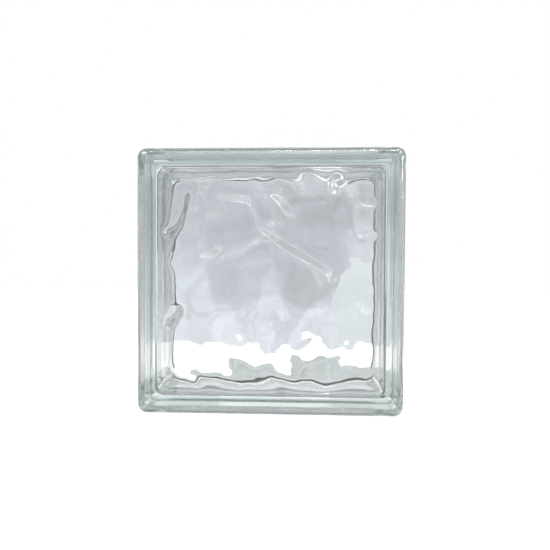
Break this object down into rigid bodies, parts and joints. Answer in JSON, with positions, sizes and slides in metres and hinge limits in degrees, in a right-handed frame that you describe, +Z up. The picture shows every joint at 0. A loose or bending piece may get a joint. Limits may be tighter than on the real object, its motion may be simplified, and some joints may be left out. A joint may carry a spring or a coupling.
{
  "type": "glass block",
  "caption": "Square hollow pressed-glass wall block, clear, with flat outer faces, a clouded relief inside, edge flanges and a mortar channel round the seam.",
  "frame": {"origin": "centre of the base, on the plane of the two lower edge flanges", "axes": "+Z up the face, +X across the face, +Y through the thickness; the near face looks along -Y"},
  "size_m": [0.19, 0.095, 0.19],
  "materials": {
    "clear_glass": "clear pressed glass with a faint grey-green tint: fire-polished flat faces, gently rippled inner faces, and a slightly rougher moulded edge and seam"
  },
  "bodies": {
    "root": {"glass_block": "clear_glass"}
  },
  "joints": []
}
